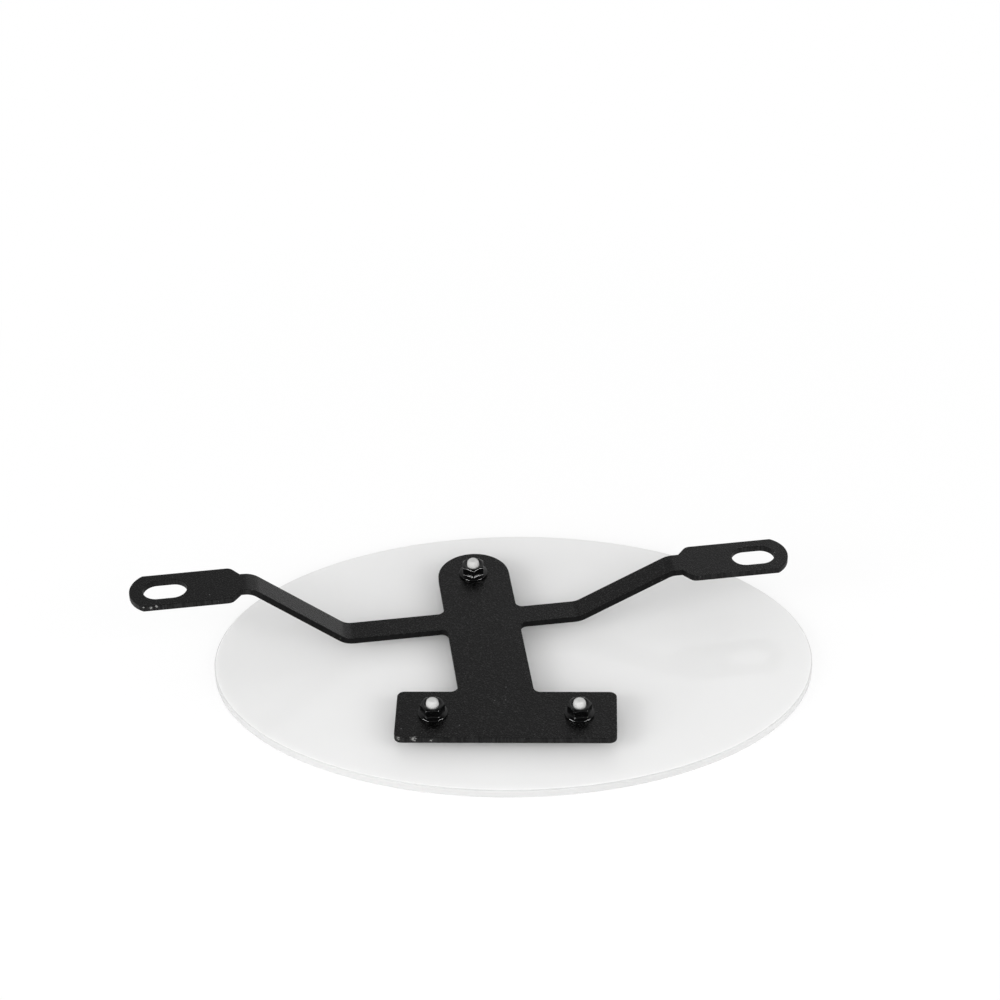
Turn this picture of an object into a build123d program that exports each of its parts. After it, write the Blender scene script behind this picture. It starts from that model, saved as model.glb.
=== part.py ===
"""Racing number board: a white oval sheet with its number, and a folded steel bracket on three studs.

It lies face down. X runs along the bracket's arms, Y points to the bracket's round end and Z is up, out of
the back of the board. The origin is the middle of the oval on its front face. Sizes are in millimetres and
degrees.
"""
import os
from math import cos, radians, sin, tan

from build123d import *

# Oval board
board_length = 284.0
board_height = 188.0
board_thickness = 4.5
board_edge_chamfer = 0.5
board_turn = 8.4  # the level line of the number is turned this far from the arms

# Printed film on the front face, set flush with it
film_thickness = 0.2
border_inset = 9.3
border_width = 1.1
number_height = 90.0
number_baseline = -43.5
drop_start = (1.6, -2.6)  # from a digit to the inner side of its drop line
drop_end = (2.2, -3.5)  # from a digit to the outer side of its drop line

# Studs bonded to the back of the board
stud_diameter = 6.0
stud_shoulder_diameter = 11.0
stud_standoff = 7.2  # from the back of the board to the underside of the bracket
stud_reach = 2.4  # past the nut
stud_tip_diameter = 5.0
stud_tip_chamfer = 0.8

# Hex flange nuts
nut_across_flats = 10.0
nut_height = 6.0
nut_chamfer_diameter = 9.6
nut_chamfer_angle = 30.0
nut_flange_diameter = 13.8
nut_flange_rim = 1.1
nut_flange_slope = 20.0
nut_mouth_chamfer = 0.9
thread_clearance = 0.05
column_nut_turn = 24.0
bar_nut_turns = (-6.0, 0.0)

# Bracket sheet
sheet = 3.0
bend_radius = 8.0  # inner radius of every fold
inner_corner_radius = 3.4
hole_clearance = 0.3

# Bar of the bracket, almost level with the number
bar_turn = 8.9  # from the arms
bar_length = 101.5
bar_height = 32.5
bar_corner_radius = 3.4
bar_along = -1.5  # its middle, along and across the bar's own direction
bar_across = -53.9
bar_stud_spacing = 67.3
bar_stud_rise = 0.8  # from the bar's middle line towards the column

# Column of the bracket, square to the arms
column_width = 34.6
column_x = -12.1
column_stud_y = 53.3
column_end_reach = 15.8  # from the stud to the tip of the column's half-round end

# Arms, in plan and in height
arm_width = 12.4
arm_y = 18.35
left_fold_x = -77.1
left_ramp_run = 42.3
left_ramp_rise = 35.7
right_fold_x = 34.0
right_ramp_run = 44.1
right_ramp_rise = 22.2

# Tabs at the ends of the arms
tab_length = 57.5  # from the outer fold to the end
tab_width = 23.1
tab_end_bulge = 6.3
tab_neck = 5.55  # from the outer fold to the shoulders
tab_shoulder = 4.4
tab_shoulder_radius = 4.0
slot_width = 13.3
slot_travel = 7.3  # between the middles of the slot's round ends
slot_to_end = 16.7

# Two corners nearer than this are one corner
same_place = 0.01

# Heights and places that follow
plate_bottom = board_thickness + stud_standoff
plate_top = plate_bottom + sheet
nut_top = plate_top + nut_height
stud_top = nut_top + stud_reach
left_tab_x = left_fold_x - left_ramp_run
right_tab_x = right_fold_x + right_ramp_run
left_tab_top = plate_top + left_ramp_rise
right_tab_top = plate_top + right_ramp_rise

# The board's own axes, turned from the arms, and the planes of its face and its outline
board_angle = radians(board_turn)
level = Vector(cos(board_angle), -sin(board_angle), 0)
face_plane = Plane(origin=(0, 0, 0), x_dir=level, z_dir=(0, 0, -1))
board_plane = Plane(origin=(0, 0, 0), x_dir=level, z_dir=(0, 0, 1))

# Stud places, first the column's and then the bar's
bar_angle = radians(bar_turn)
bar_level = Vector(cos(bar_angle), -sin(bar_angle), 0)
bar_up = Vector(sin(bar_angle), cos(bar_angle), 0)
bar_middle = bar_level * bar_along + bar_up * bar_across
bar_studs_middle = bar_middle + bar_up * bar_stud_rise
bar_half_step = bar_level * (bar_stud_spacing / 2)
column_stud = Vector(column_x, column_stud_y, 0)
stud_places = [column_stud, bar_studs_middle - bar_half_step, bar_studs_middle + bar_half_step]
nut_turns = [column_nut_turn, *bar_nut_turns]

os.makedirs("parts", exist_ok=True)


def digit_point(x, y):
    """A point of the number in hundredths of its height: x from the board's middle, y from the baseline."""
    unit = number_height / 100
    return (x * unit, number_baseline + y * unit)


# The number as the reader sees it: slanted digits with flat slab ends
with BuildSketch(face_plane) as digits:
    with BuildLine():
        seven_top = Polyline(
            digit_point(-81.8, 64.1),
            digit_point(-61.8, 100),
            digit_point(17.1, 100),
            digit_point(12.2, 84),
            digit_point(-22.2, 50.8),
        )
        seven_right = TangentArc(seven_top @ 1, digit_point(-52.2, 0), tangent=seven_top % 1)
        seven_foot = Line(seven_right @ 1, digit_point(-90.4, 0))
        seven_inner = Line(digit_point(-18.9, 76.6), digit_point(-55.6, 43.4))
        TangentArc(seven_inner @ 1, seven_foot @ 1, tangent=seven_inner % 1)
        seven_under = Line(seven_inner @ 0, digit_point(-49.3, 76.6))
        seven_hook = TangentArc(seven_under @ 1, digit_point(-71.1, 62.8), tangent=seven_under % 1)
        Line(seven_hook @ 1, seven_top @ 0)
    make_face()
    with BuildLine():
        one_flag = ThreePointArc(digit_point(36.4, 94.6), digit_point(57, 96.6), digit_point(74.4, 100))
        one_right = Polyline(one_flag @ 1, digit_point(90.4, 100), digit_point(58.9, 24.7))
        one_root = ThreePointArc(one_right @ 1, digit_point(58.4, 18.8), digit_point(63, 16.4))
        one_foot = Polyline(
            one_root @ 1,
            digit_point(72.9, 15.8),
            digit_point(68, 0),
            digit_point(-3.3, 0),
            digit_point(2.2, 14.3),
            digit_point(12, 15.8),
        )
        one_bay = ThreePointArc(one_foot @ 1, digit_point(18.5, 17.7), digit_point(22.2, 22.2))
        Polyline(
            one_bay @ 1,
            digit_point(44.7, 77.1),
            digit_point(43.3, 80),
            digit_point(31.1, 81.3),
            one_flag @ 0,
        )
    make_face()

# Digits with a thin line dropped below and right of each, past a white gap
with BuildSketch(face_plane) as number:
    add(digits.sketch_local.moved(Location(drop_end)))
    add(digits.sketch_local.moved(Location(drop_start)), mode=Mode.SUBTRACT)
    add(digits.sketch_local)

# Oval line inside the rim
with BuildSketch(face_plane) as border:
    Ellipse(board_length / 2 - border_inset, board_height / 2 - border_inset)
    Ellipse(
        board_length / 2 - border_inset - border_width,
        board_height / 2 - border_inset - border_width,
        mode=Mode.SUBTRACT,
    )

# Oval sheet with broken rims; the film lies in it by its own thickness
with BuildPart() as board:
    with BuildSketch(board_plane):
        Ellipse(board_length / 2, board_height / 2)
    extrude(amount=board_thickness)
    rims = board.edges().group_by(Axis.Z)[0] + board.edges().group_by(Axis.Z)[-1]
    chamfer(rims, board_edge_chamfer)
    extrude(number.sketch, amount=-film_thickness, mode=Mode.SUBTRACT)
    extrude(border.sketch, amount=-film_thickness, mode=Mode.SUBTRACT)
board.part.label = "board"
export_step(board.part, "parts/board.step")

with BuildPart() as number_print:
    extrude(number.sketch, amount=-film_thickness)
number_print.part.label = "number_print"
export_step(number_print.part, "parts/number_print.step")

with BuildPart() as border_line:
    extrude(border.sketch, amount=-film_thickness)
border_line.part.label = "border_line"
export_step(border_line.part, "parts/border_line.step")

# Moulded stud: shoulder that stands on the board and carries the bracket, shank and tapered tip
stud_radius = stud_diameter / 2
shoulder_radius = stud_shoulder_diameter / 2
tip_radius = stud_tip_diameter / 2
with BuildPart() as stud:
    with BuildSketch(Plane.XZ) as stud_profile:
        with BuildLine():
            Polyline(
                (0, stud_top),
                (0, board_thickness),
                (shoulder_radius, board_thickness),
                (shoulder_radius, plate_bottom),
                (stud_radius, plate_bottom),
                (stud_radius, nut_top),
                (tip_radius, stud_top),
                close=True,
            )
        make_face()
        tip_rim = stud_profile.vertices().group_by(Axis.Y)[-1].sort_by(Axis.X)[-1]
        chamfer(tip_rim, stud_tip_chamfer)
    revolve(axis=Axis.Z)

with BuildPart() as mounting_studs:
    for place in stud_places:
        add(stud.part.moved(Location(place)))
mounting_studs.part.label = "mounting_studs"
export_step(mounting_studs.part, "parts/mounting_studs.step")

# Folded strip that makes both arms and their tabs, seen from the bar's side along its upper face
fold_points = [
    (left_tab_x - tab_length, left_tab_top),
    (left_tab_x, left_tab_top),
    (left_fold_x, plate_top),
    (right_fold_x, plate_top),
    (right_tab_x, right_tab_top),
    (right_tab_x + tab_length, right_tab_top),
]
outer_bend_radius = bend_radius + sheet
with BuildPart() as arms:
    with BuildSketch(Plane.XZ.offset(-(arm_y + tab_width / 2))):
        with BuildLine():
            FilletPolyline(
                *fold_points,
                radius=[outer_bend_radius, bend_radius, bend_radius, outer_bend_radius],
            )
            offset(amount=sheet, side=Side.RIGHT)
        make_face()
    extrude(amount=tab_width)
    with BuildSketch() as arm_plan:
        with Locations(((left_tab_x + right_tab_x) / 2, arm_y)):
            Rectangle(right_tab_x - left_tab_x + 2 * (tab_neck + tab_shoulder), arm_width)
        for fold_x, side in ((left_tab_x, -1), (right_tab_x, 1)):
            neck_x = fold_x + side * tab_neck
            shoulder_x = neck_x + side * tab_shoulder
            corner_x = fold_x + side * (tab_length - tab_end_bulge)
            with BuildLine():
                tab_sides = Polyline(
                    (corner_x, arm_y + tab_width / 2),
                    (shoulder_x, arm_y + tab_width / 2),
                    (neck_x, arm_y + arm_width / 2),
                    (neck_x, arm_y - arm_width / 2),
                    (shoulder_x, arm_y - tab_width / 2),
                    (corner_x, arm_y - tab_width / 2),
                )
                ThreePointArc(tab_sides @ 1, (fold_x + side * tab_length, arm_y), tab_sides @ 0)
            make_face()
        shoulder_xs = (left_tab_x - tab_neck - tab_shoulder, right_tab_x + tab_neck + tab_shoulder)
        tab_corners = arm_plan.vertices().filter_by(
            lambda corner: min(abs(corner.X - x) for x in shoulder_xs) < same_place
        )
        fillet(tab_corners, tab_shoulder_radius)
        slot_xs = (left_tab_x - tab_length + slot_to_end, right_tab_x + tab_length - slot_to_end)
        with Locations(*[(x, arm_y) for x in slot_xs]):
            SlotCenterToCenter(slot_travel, slot_width, mode=Mode.SUBTRACT)
    extrude(amount=max(left_tab_top, right_tab_top) + sheet, mode=Mode.INTERSECT)

# Bracket: flat bar and column with the folded arms, all one sheet
column_half = column_width / 2
column_top = column_stud_y + column_end_reach
column_shoulder = column_top - column_half
arm_root = column_width + 4 * inner_corner_radius
with BuildPart() as bracket:
    with BuildSketch(Plane.XY.offset(plate_bottom)) as plate:
        with Locations(Location(bar_middle, (0, 0, -bar_turn))):
            RectangleRounded(bar_length, bar_height, bar_corner_radius)
        with BuildLine():
            column_sides = Polyline(
                (column_x - column_half, column_shoulder),
                (column_x - column_half, bar_middle.Y),
                (column_x + column_half, bar_middle.Y),
                (column_x + column_half, column_shoulder),
            )
            ThreePointArc(column_sides @ 1, (column_x, column_top), column_sides @ 0)
        make_face()
        with Locations((column_x, arm_y)):
            Rectangle(arm_root, arm_width)
        inner_corners = plate.vertices().filter_by(
            lambda corner: abs(abs(corner.X - column_x) - column_half) < same_place
            and corner.Y < column_shoulder - same_place
        )
        fillet(inner_corners, inner_corner_radius)
        with Locations(*[(place.X, place.Y) for place in stud_places]):
            Circle(stud_radius + hole_clearance, mode=Mode.SUBTRACT)
    extrude(amount=sheet)
    add(arms.part)
bracket.part.label = "bracket"
export_step(bracket.part, "parts/bracket.step")

# Hex flange nut: hexagon with a turned top, sloping flange and plain bore
flange_radius = nut_flange_diameter / 2
chamfer_radius = nut_chamfer_diameter / 2
chamfer_drop = (flange_radius - chamfer_radius) * tan(radians(nut_chamfer_angle))
rim_top = plate_top + nut_flange_rim
flange_rise = (flange_radius - chamfer_radius) * tan(radians(nut_flange_slope))
with BuildPart() as nut:
    with BuildSketch(Plane.XY.offset(plate_top)):
        RegularPolygon(nut_across_flats / 2, 6, major_radius=False)
    extrude(amount=nut_height)
    with BuildSketch(Plane.XZ):
        with BuildLine():
            Polyline(
                (0, plate_top),
                (flange_radius, plate_top),
                (flange_radius, nut_top - chamfer_drop),
                (chamfer_radius, nut_top),
                (0, nut_top),
                close=True,
            )
        make_face()
    revolve(axis=Axis.Z, mode=Mode.INTERSECT)
    with BuildSketch(Plane.XZ):
        with BuildLine():
            Polyline(
                (0, plate_top),
                (flange_radius, plate_top),
                (flange_radius, rim_top),
                (chamfer_radius, rim_top + flange_rise),
                (0, rim_top + flange_rise),
                close=True,
            )
        make_face()
    revolve(axis=Axis.Z)
    with BuildSketch(Plane.XY.offset(plate_top)):
        Circle(stud_radius + thread_clearance)
    extrude(amount=nut_height, mode=Mode.SUBTRACT)
    nut_mouth = nut.edges().filter_by(GeomType.CIRCLE).group_by(Axis.Z)[-1].sort_by(SortBy.RADIUS)[0]
    chamfer(nut_mouth, nut_mouth_chamfer)

with BuildPart() as flange_nuts:
    for place, nut_turn in zip(stud_places, nut_turns):
        add(nut.part.moved(Location(place, (0, 0, nut_turn))))
flange_nuts.part.label = "flange_nuts"
export_step(flange_nuts.part, "parts/flange_nuts.step")
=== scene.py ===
from math import radians

import bmesh
import bpy
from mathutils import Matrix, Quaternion, Vector


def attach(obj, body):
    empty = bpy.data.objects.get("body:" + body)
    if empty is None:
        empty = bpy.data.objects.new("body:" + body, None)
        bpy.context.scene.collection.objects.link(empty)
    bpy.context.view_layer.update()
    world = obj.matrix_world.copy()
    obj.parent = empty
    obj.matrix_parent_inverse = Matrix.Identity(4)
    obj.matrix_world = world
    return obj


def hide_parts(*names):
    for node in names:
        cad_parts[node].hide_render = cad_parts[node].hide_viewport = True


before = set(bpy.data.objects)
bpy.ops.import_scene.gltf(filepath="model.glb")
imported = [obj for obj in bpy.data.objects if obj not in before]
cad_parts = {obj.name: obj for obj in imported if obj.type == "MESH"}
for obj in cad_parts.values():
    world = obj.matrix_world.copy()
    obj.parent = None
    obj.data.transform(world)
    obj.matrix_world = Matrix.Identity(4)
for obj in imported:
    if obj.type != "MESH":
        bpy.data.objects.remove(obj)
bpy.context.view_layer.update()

# Oval board: one white plastic sheet, sawn to an oval with both rims broken. It lies on its face and shows
# its glossy back and its sawn edge, whose colour holds painted shade and painted light. The studs are
# bonded to the back and the print is let into the face.
MM = 0.001
rising = (0.0, 1.0)
falling = (1.0, 0.0)
noise_span = (0.3, 0.7)
board_light = (0.80, 0.80, 0.797, 1)
board_shade = (0.77, 0.77, 0.767, 1)
board_cloud = 60 * MM
board_shine = 0.35
board_gloss = (0.03, 0.06)
board_haze = 25 * MM
board_ripple = 14 * MM
board_ripple_strength = 0.03
board_ripple_depth = 0.2 * MM
board_scatter = 0.5
board_scatter_colour = (1, 1, 1)
board_scatter_depth = 4 * MM
# Painted shade: the sawn edge is painted darker than the white sheet, and its broken rim darker still, to
# take off the strong front light and the highlight on them. Painted light: the edge is painted paler towards
# the two ends of the oval, where the lamps light it less.
edge_painted_shade = (0.505, 0.505, 0.503, 1)
edge_ends_painted_light = [(-1.0, (0.54, 0.54, 0.538, 1)), (1.0, (0.66, 0.66, 0.658, 1))]
edge_light_start = 0.15
edge_roughness = 0.6
edge_slope = (0.9, 0.98)
rim_painted_shade = (0.465, 0.465, 0.463, 1)
rim_shade_slope = (0.3, 0.6)


def add_node(tree, kind, inputs=None, **settings):
    """A node of this kind, with its settings, and its inputs linked or set by name or by number."""
    node = tree.nodes.new(kind)
    for name, value in settings.items():
        setattr(node, name, value)
    for key, value in (inputs or {}).items():
        if isinstance(value, bpy.types.NodeSocket):
            tree.links.new(value, node.inputs[key])
        else:
            node.inputs[key].default_value = value
    return node


def start_material(name):
    """A new material: its node tree, its shader and the place on the object in metres."""
    material = bpy.data.materials.new(name)
    material.use_nodes = True
    tree = material.node_tree
    place = add_node(tree, "ShaderNodeTexCoord").outputs["Object"]
    return material, tree, tree.nodes["Principled BSDF"], place


def noise(tree, place, size, detail=2.0, roughness=0.5):
    """Cloudy noise from 0 to 1 whose patches are about this size across."""
    inputs = {"Vector": place, "Scale": 1 / size, "Detail": detail, "Roughness": roughness}
    return add_node(tree, "ShaderNodeTexNoise", inputs).outputs["Fac"]


def spread(tree, value, span, result):
    """The value, moved from the span's range to the result's range and held there."""
    inputs = {
        "Value": value,
        "From Min": span[0],
        "From Max": span[1],
        "To Min": result[0],
        "To Max": result[1],
    }
    return add_node(tree, "ShaderNodeMapRange", inputs).outputs["Result"]


def maths(tree, operation, first, second=0.0):
    """One operation on two values."""
    return add_node(tree, "ShaderNodeMath", {0: first, 1: second}, operation=operation).outputs[0]


def mix_colour(tree, share, first, second):
    """The first colour where the share is 0 and the second where it is 1."""
    node = add_node(tree, "ShaderNodeMix", {0: share, 6: first, 7: second}, data_type="RGBA")
    return node.outputs[2]


def facing(tree, axis):
    """1 where the surface faces along this axis, -1 where it faces the other way and 0 square to it."""
    normal = add_node(tree, "ShaderNodeNewGeometry").outputs["Normal"]
    return add_node(tree, "ShaderNodeSeparateXYZ", {0: normal}).outputs[axis]


def bump(tree, height, strength, depth):
    """A bump that follows this height."""
    return add_node(tree, "ShaderNodeBump", {"Height": height, "Strength": strength, "Distance": depth})


def dress(piece, material):
    """Gives the whole piece this one material."""
    piece.data.materials.clear()
    piece.data.materials.append(material)


white_sheet, tree, shader, place = start_material("white_sheet")
flatness = maths(tree, "ABSOLUTE", facing(tree, "Z"))
back_colour = mix_colour(tree, noise(tree, place, board_cloud), board_light, board_shade)
# Painted shade and painted light on the sawn edge: darker than the sheet, darker on the rim, paler at the
# ends.
sawn_painted_colour = mix_colour(tree, spread(tree, flatness, rim_shade_slope, rising), edge_painted_shade, rim_painted_shade)
for side, painted_lighter in edge_ends_painted_light:
    towards_end = spread(tree, facing(tree, "X"), (side * edge_light_start, side), rising)
    sawn_painted_colour = mix_colour(tree, towards_end, sawn_painted_colour, painted_lighter)
on_edge = spread(tree, flatness, edge_slope, falling)
tree.links.new(mix_colour(tree, on_edge, back_colour, sawn_painted_colour), shader.inputs["Base Color"])
back_haze = spread(tree, noise(tree, place, board_haze, detail=4.0), noise_span, board_gloss)
sawn_haze = spread(tree, flatness, edge_slope, (edge_roughness, 0.0))
tree.links.new(maths(tree, "MAXIMUM", back_haze, sawn_haze), shader.inputs["Roughness"])
ripple = bump(tree, noise(tree, place, board_ripple, detail=1.0), board_ripple_strength, board_ripple_depth)
tree.links.new(ripple.outputs["Normal"], shader.inputs["Normal"])
shader.inputs["Specular IOR Level"].default_value = board_shine
shader.inputs["Subsurface Weight"].default_value = board_scatter
shader.inputs["Subsurface Radius"].default_value = board_scatter_colour
shader.inputs["Subsurface Scale"].default_value = board_scatter_depth
dress(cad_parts["board"], white_sheet)

# Print on the face: black film, cut as the two digits with their drop lines and as the oval pin line, and
# pressed flush into the face. It lies against the surface that the board rests on.
film_colour = (0.012, 0.012, 0.012, 1)
film_grain = 0.6 * MM
film_gloss = (0.26, 0.38)

black_film, tree, shader, place = start_material("black_film")
shader.inputs["Base Color"].default_value = film_colour
film_haze = spread(tree, noise(tree, place, film_grain, detail=3.0), noise_span, film_gloss)
tree.links.new(film_haze, shader.inputs["Roughness"])
dress(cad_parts["number_print"], black_film)
dress(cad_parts["border_line"], black_film)

# Studs: three moulded off-white plastic studs, bonded to the back of the board. Each has a shoulder that
# carries the bracket and a tapered tip that stands out of its nut.
# Painted shade: both stud colours are grey, darker than the off-white plastic, to take off the strong front
# light on them. The mottle between them is random.
stud_painted_shade_pale = (0.50, 0.50, 0.493, 1)
stud_painted_shade_dark = (0.44, 0.44, 0.434, 1)
stud_shine = 0.08
stud_gloss = (0.38, 0.5)
stud_mottle = 0.9 * MM
stud_mottle_strength = 0.25
stud_mottle_depth = 0.05 * MM
stud_round = 0.4 * MM
weld_gap = 0.002 * MM
flat_angle = radians(0.5)
edge_angle = radians(24)
round_steps = 3
flat_weight = 100


def soften(node_name, piece_name, edge_round):
    """A copy of a CAD piece with its edges rounded, which stands for the piece."""
    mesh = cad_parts[node_name].data.copy()
    work = bmesh.new()
    work.from_mesh(mesh)
    bmesh.ops.remove_doubles(work, verts=work.verts, dist=weld_gap)
    bmesh.ops.dissolve_limit(
        work, angle_limit=flat_angle, use_dissolve_boundaries=False, verts=work.verts, edges=work.edges
    )
    for face in work.faces:
        face.smooth = True
    work.to_mesh(mesh)
    work.free()
    mesh.name = piece_name
    piece = bpy.data.objects.new(piece_name, mesh)
    bpy.context.scene.collection.objects.link(piece)
    rounding = piece.modifiers.new("edge round", "BEVEL")
    rounding.width = edge_round
    rounding.segments = round_steps
    rounding.limit_method = "ANGLE"
    rounding.angle_limit = edge_angle
    flats = piece.modifiers.new("flat faces", "WEIGHTED_NORMAL")
    flats.mode = "FACE_AREA"
    flats.weight = flat_weight
    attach(piece, "root")
    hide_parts(node_name)
    return piece


stud_plastic, tree, shader, place = start_material("stud_plastic")
mottle = noise(tree, place, stud_mottle, detail=3.0)
# Painted shade: the studs' grey mottle is darker than their off-white plastic.
tree.links.new(mix_colour(tree, mottle, stud_painted_shade_pale, stud_painted_shade_dark), shader.inputs["Base Color"])
tree.links.new(spread(tree, mottle, noise_span, stud_gloss), shader.inputs["Roughness"])
pitted = bump(tree, mottle, stud_mottle_strength, stud_mottle_depth)
tree.links.new(pitted.outputs["Normal"], shader.inputs["Normal"])
shader.inputs["Specular IOR Level"].default_value = stud_shine
studs = soften("mounting_studs", "moulded_studs", stud_round)
dress(studs, stud_plastic)

# Bracket: 3 mm steel sheet, cut and then folded at four places, with fine-textured black powder coat. The
# coat is dull on the cut walls, chipped at some corners, and dusty. The walls of the bar and the tabs are
# painted lighter grey as painted reflection of the white board and floor in front of them, and the end of
# the left tab is lighter grey still. Places on it are in millimetres.
coat_colour = (0.026, 0.026, 0.0262, 1)
coat_deep = (0.001, 0.001, 0.001, 1)
coat_shine = 0.27
coat_gloss = (0.22, 0.32)
coat_grain = 0.8 * MM
coat_grain_span = (0.54, 0.75)
coat_grain_strength = 1.0
coat_grain_depth = 0.14 * MM
coat_peel = 2.2 * MM
coat_peel_strength = 0.5
coat_peel_depth = 0.1 * MM
coat_round = 0.35 * MM
wall_slope = 0.5
wall_colour = (0.005, 0.005, 0.005, 1)
wall_deep = (0.001, 0.001, 0.001, 1)
wall_shine = 0.1
wall_gloss = (0.45, 0.6)
wall_streak = 0.5 * MM
streak_stretch = (1, 1, 0.05)
streak_span = (0.38, 0.65)
streak_strength = 0.6
streak_depth = 0.06 * MM
# Painted reflection: the lighter grey on the walls of the bar and the tabs stands for the white board and
# floor mirrored in them.
reflection_colour = (0.016, 0.016, 0.016, 1)
reflection_deep = (0.003, 0.003, 0.003, 1)
reflecting_walls = [((-9.0, -75.0, 13.0), 62.0), ((-150.0, -10.0, 49.0), 42.0), ((125.0, 3.0, 35.0), 42.0)]
reflection_fade = (0.85, 1.0)
# Lighter grey on the end wall of the left tab, strongest on the light streaks.
tab_end_colour = (0.06, 0.06, 0.06, 1)
tab_end_spots = [((-178.0, 9.0, 48.9), 6.0)]
tab_end_fade = (0.4, 1.0)
dust_colour = (0.10, 0.10, 0.10, 1)
dust_radius = 0.35
dust_fade = (0.5, 1.0)
dust_places = [
    (-139.7, 11.2, 50.4),
    (129.5, 19.0, 36.9),
    (113.0, 23.9, 36.9),
    (-13.8, -42.4, 14.7),
    (-8.8, -42.8, 14.7),
    (-58.4, -55.4, 14.7),
    (-31.8, -57.1, 14.7),
    (-7.4, -33.7, 14.7),
]
chip_colour = (0.16, 0.16, 0.155, 1)
chip_grain = 0.7 * MM
chip_lift = 0.5
chip_span = (0.72, 0.80)
chips = [
    ((-60.7, -61.5, 14.4), 1.8),
    ((-53.6, -62.7, 14.4), 2.0),
    ((-45.8, -64.0, 13.4), 1.1),
    ((-167.0, 6.8, 49.2), 1.2),
    ((-164.4, 6.8, 50.0), 1.0),
    ((-170.4, 6.8, 49.8), 0.9),
]


def nearest(tree, place, spots):
    """How far the closest of these spots is, as a share of its own radius, with both in millimetres."""
    shares = []
    for middle, radius in spots:
        ends = {0: place, 1: Vector(middle) * MM}
        gap = add_node(tree, "ShaderNodeVectorMath", ends, operation="DISTANCE").outputs["Value"]
        shares.append(maths(tree, "DIVIDE", gap, radius * MM))
    least = shares[0]
    for share in shares[1:]:
        least = maths(tree, "MINIMUM", least, share)
    return least


def weather(tree, place, coat):
    """The coat's colour with its specks of dust and its chips."""
    specks = [(spot, dust_radius) for spot in dust_places]
    dusty = spread(tree, nearest(tree, place, specks), dust_fade, falling)
    coat = mix_colour(tree, dusty, coat, dust_colour)
    near_chip = spread(tree, nearest(tree, place, chips), rising, (chip_lift, 0.0))
    bare = maths(tree, "ADD", noise(tree, place, chip_grain), near_chip)
    return mix_colour(tree, spread(tree, bare, chip_span, rising), coat, chip_colour)


powder_coat, tree, shader, place = start_material("powder_coat")
grain = noise(tree, place, coat_grain, detail=3.0, roughness=0.6)
coat = mix_colour(tree, spread(tree, grain, coat_grain_span, rising), coat_deep, coat_colour)
tree.links.new(weather(tree, place, coat), shader.inputs["Base Color"])
tree.links.new(spread(tree, grain, noise_span, coat_gloss), shader.inputs["Roughness"])
grained = bump(tree, grain, coat_grain_strength, coat_grain_depth)
uneven = bump(tree, noise(tree, place, coat_peel), coat_peel_strength, coat_peel_depth)
tree.links.new(grained.outputs["Normal"], uneven.inputs["Normal"])
tree.links.new(uneven.outputs["Normal"], shader.inputs["Normal"])
shader.inputs["Specular IOR Level"].default_value = coat_shine

wall_coat, tree, shader, place = start_material("wall_coat")
stretched = {0: place, 1: streak_stretch}
drawn = add_node(tree, "ShaderNodeVectorMath", stretched, operation="MULTIPLY").outputs[0]
streak = spread(tree, noise(tree, drawn, wall_streak), streak_span, rising)
dull = mix_colour(tree, streak, wall_deep, wall_colour)
reflected_coat = mix_colour(tree, streak, reflection_deep, reflection_colour)
# Painted reflection, lighter grey, on the walls of the bar and the tabs.
coat = mix_colour(tree, spread(tree, nearest(tree, place, reflecting_walls), reflection_fade, falling), dull, reflected_coat)
# Lighter grey at the end of the left tab.
tab_end_share = maths(tree, "MULTIPLY", spread(tree, nearest(tree, place, tab_end_spots), tab_end_fade, falling), streak)
coat = mix_colour(tree, tab_end_share, coat, tab_end_colour)
tree.links.new(weather(tree, place, coat), shader.inputs["Base Color"])
tree.links.new(spread(tree, streak, rising, wall_gloss), shader.inputs["Roughness"])
grooved = bump(tree, streak, streak_strength, streak_depth)
tree.links.new(grooved.outputs["Normal"], shader.inputs["Normal"])
shader.inputs["Specular IOR Level"].default_value = wall_shine

bracket = soften("bracket", "folded_bracket", coat_round)
dress(bracket, powder_coat)
bracket.data.materials.append(wall_coat)
for face in bracket.data.polygons:
    face.material_index = int(abs(face.normal.z) < wall_slope)

# Nuts: three hex flange nuts of steel with glossy black plating, run down on the studs against the bracket.
# Their edges are rounded by rolling and plating, so they catch the light as thin lines.
nut_colour = (0.0015, 0.0015, 0.0016, 1)
nut_shine = 0.45
nut_gloss = (0.12, 0.22)
nut_voxel = 0.15 * MM
nut_passes = 10
nut_pass_share = 0.5
nut_marks = 1.2 * MM
nut_marks_span = (0.35, 0.7)
nut_marks_strength = 0.03
nut_marks_depth = 0.05 * MM

black_plating, tree, shader, place = start_material("black_plating")
marks = noise(tree, place, nut_marks, detail=4.0)
tree.links.new(spread(tree, marks, nut_marks_span, nut_gloss), shader.inputs["Roughness"])
marked = bump(tree, marks, nut_marks_strength, nut_marks_depth)
tree.links.new(marked.outputs["Normal"], shader.inputs["Normal"])
shader.inputs["Base Color"].default_value = nut_colour
shader.inputs["Specular IOR Level"].default_value = nut_shine
nuts = bpy.data.objects.new("hex_flange_nuts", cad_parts["flange_nuts"].data.copy())
bpy.context.scene.collection.objects.link(nuts)
forging = nuts.modifiers.new("forging", "REMESH")
forging.mode = "VOXEL"
forging.voxel_size = nut_voxel
forging.use_smooth_shade = True
rolling = nuts.modifiers.new("rolling", "SMOOTH")
rolling.factor = nut_pass_share
rolling.iterations = nut_passes
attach(nuts, "root")
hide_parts("flange_nuts")
dress(nuts, black_plating)

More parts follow.
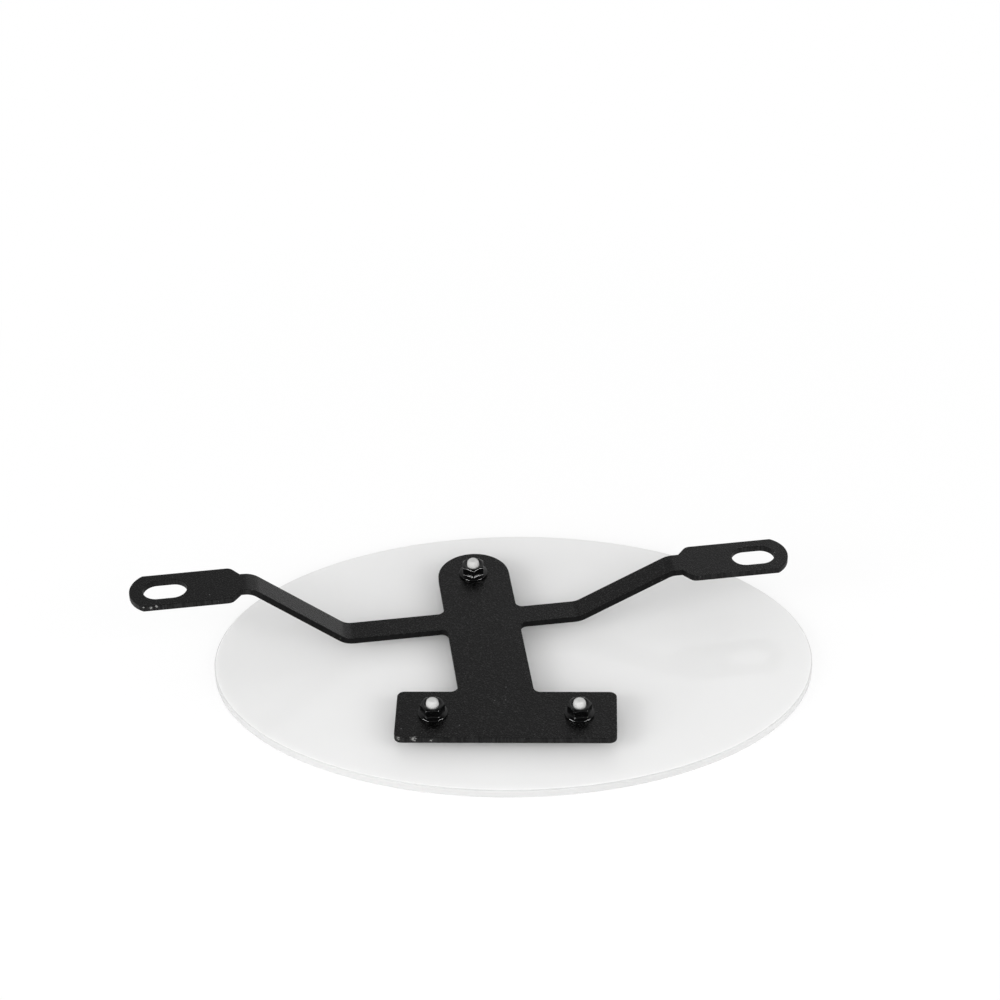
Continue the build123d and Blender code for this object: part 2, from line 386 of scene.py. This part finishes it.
# Floor: a wide sheet of pale paper under the board, which runs on to the horizon. It shows white to the
# camera and in mirrors, and it keeps the board's shadow close to the board.
floor_half = 6.0
floor_drop = 0.1 * MM
floor_colour = (0.92, 0.92, 0.92, 1)
floor_roughness = 0.9
floor_shine = 0.0
floor_white = (1, 1, 1, 1)
floor_white_level = 1.0
floor_glow = (0.8, 1.0)
floor_fade = (0.18, 0.42)

floor_mesh = bpy.data.meshes.new("floor")
corners = [
    (-floor_half, -floor_half),
    (floor_half, -floor_half),
    (floor_half, floor_half),
    (-floor_half, floor_half),
]
floor_mesh.from_pydata([(x, y, -floor_drop) for x, y in corners], [], [(0, 1, 2, 3)])
floor = bpy.data.objects.new("floor", floor_mesh)
bpy.context.scene.collection.objects.link(floor)
floor_paper, tree, shader, place = start_material("floor_paper")
shader.inputs["Base Color"].default_value = floor_colour
shader.inputs["Roughness"].default_value = floor_roughness
shader.inputs["Specular IOR Level"].default_value = floor_shine
glow = add_node(tree, "ShaderNodeEmission", {"Color": floor_white, "Strength": floor_white_level})
rays = add_node(tree, "ShaderNodeLightPath").outputs
seen = maths(tree, "MAXIMUM", rays["Is Camera Ray"], rays["Is Glossy Ray"])
seen = maths(tree, "MAXIMUM", seen, rays["Is Transmission Ray"])
away = add_node(tree, "ShaderNodeVectorMath", {0: place}, operation="LENGTH").outputs["Value"]
share = maths(tree, "MULTIPLY", seen, spread(tree, away, floor_fade, floor_glow))
paper = add_node(tree, "ShaderNodeMixShader", {0: share, 1: shader.outputs[0], 2: glow.outputs[0]})
tree.links.new(paper.outputs[0], tree.nodes["Material Output"].inputs["Surface"])
dress(floor, floor_paper)

# Light: a white room whose lit back wall and dark ceiling show in mirrors alone, and three wide soft boxes
# in front that light without glints. Two low cards, one on each side of the camera, glint on the nuts alone.
room_colour = (1, 1, 1, 1)
room_white_level = 1.0
room_fill = 0.52
room_horizon = (0.0, 0.12)
room_turn = (0.1, 0.4)
room_front = 0.2
room_top = (0.7, 0.88)
ceiling = 0.02
back_wall = (0.42, 0.86)
back_change = (0.05, 0.2)
back_corner = 0.6
back_fade = (0.25, 0.5)
soft_boxes = [
    ("front_sheet", (0.0, -3.5, 2.0), (6.5, 3.3), 150.0),
    ("left_box", (-2.7, -1.34, 1.4), (1.8, 1.8), 57.0),
    ("right_box", (2.32, -1.92, 1.4), (1.8, 1.8), 26.0),
]
glint_cards = [
    ("left_card", (-1.42, -0.835, 0.26), (1.2, 0.4), 90.0),
    ("right_card", (1.195, -1.138, 0.26), (1.2, 0.4), 81.0),
]
light_aim = Vector((0, 0, 0.01))


def mix_level(tree, share, first, second):
    """The first brightness where the share is 0 and the second where it is 1."""
    return add_node(tree, "ShaderNodeMix", {0: share, 2: first, 3: second}).outputs[0]


def hang_lamp(name, spot, size, power):
    """A rectangular lamp that hangs here and points at the board."""
    lamp = bpy.data.lights.new(name, "AREA")
    lamp.shape = "RECTANGLE"
    lamp.size, lamp.size_y = size
    lamp.energy = power
    box = bpy.data.objects.new(name, lamp)
    box.location = spot
    box.rotation_euler = (light_aim - box.location).to_track_quat("-Z", "Y").to_euler()
    bpy.context.scene.collection.objects.link(box)
    return box


world = bpy.data.worlds.new("white_room")
bpy.context.scene.world = world
world.use_nodes = True
tree = world.node_tree
rays = add_node(tree, "ShaderNodeLightPath").outputs
way = add_node(tree, "ShaderNodeTexCoord").outputs["Generated"]
ways = add_node(tree, "ShaderNodeSeparateXYZ", {0: way}).outputs
back = spread(tree, ways["X"], back_change, back_wall)
back = mix_level(tree, spread(tree, ways["X"], back_fade, rising), back, back_corner)
sides = mix_level(tree, spread(tree, ways["Y"], room_turn, rising), room_front, back)
upper = mix_level(tree, spread(tree, ways["Z"], room_top, rising), sides, ceiling)
walls = mix_level(tree, spread(tree, ways["Z"], room_horizon, rising), room_white_level, upper)
mirrored = maths(tree, "MAXIMUM", rays["Is Glossy Ray"], rays["Is Transmission Ray"])
strength = mix_level(tree, mirrored, room_fill, walls)
strength = mix_level(tree, rays["Is Camera Ray"], strength, room_white_level)
room = tree.nodes["Background"]
room.inputs["Color"].default_value = room_colour
tree.links.new(strength, room.inputs["Strength"])
for name, spot, size, power in soft_boxes:
    box = hang_lamp(name, spot, size, power)
    box.visible_glossy = False
glinting = bpy.data.collections.new("glinting")
glinting.objects.link(nuts)
for name, spot, size, power in glint_cards:
    card = hang_lamp(name, spot, size, power)
    card.visible_diffuse = False
    card.light_linking.receiver_collection = glinting

# Camera: a long lens in front of the bar, which looks down on the back of the board from about 37 degrees
# above the floor. It leans a little to one side.
camera_spot = Vector((-117.2, -1009.1, 851.3)) * MM
camera_aim = Vector((10.62, 130.66, 0)) * MM
camera_lens = 99.93
camera_sensor = 36
camera_reach = 50
camera_roll = radians(-1.54)

camera_data = bpy.data.cameras.new("camera")
camera_data.lens = camera_lens
camera_data.sensor_width = camera_sensor
camera_data.clip_end = camera_reach
camera = bpy.data.objects.new("camera", camera_data)
camera.location = camera_spot
pointing = (camera_aim - camera_spot).to_track_quat("-Z", "Y")
camera.rotation_mode = "QUATERNION"
camera.rotation_quaternion = pointing @ Quaternion((0, 0, 1), camera_roll)
bpy.context.scene.collection.objects.link(camera)
bpy.context.scene.camera = camera

bpy.context.scene.view_settings.view_transform = "Standard"
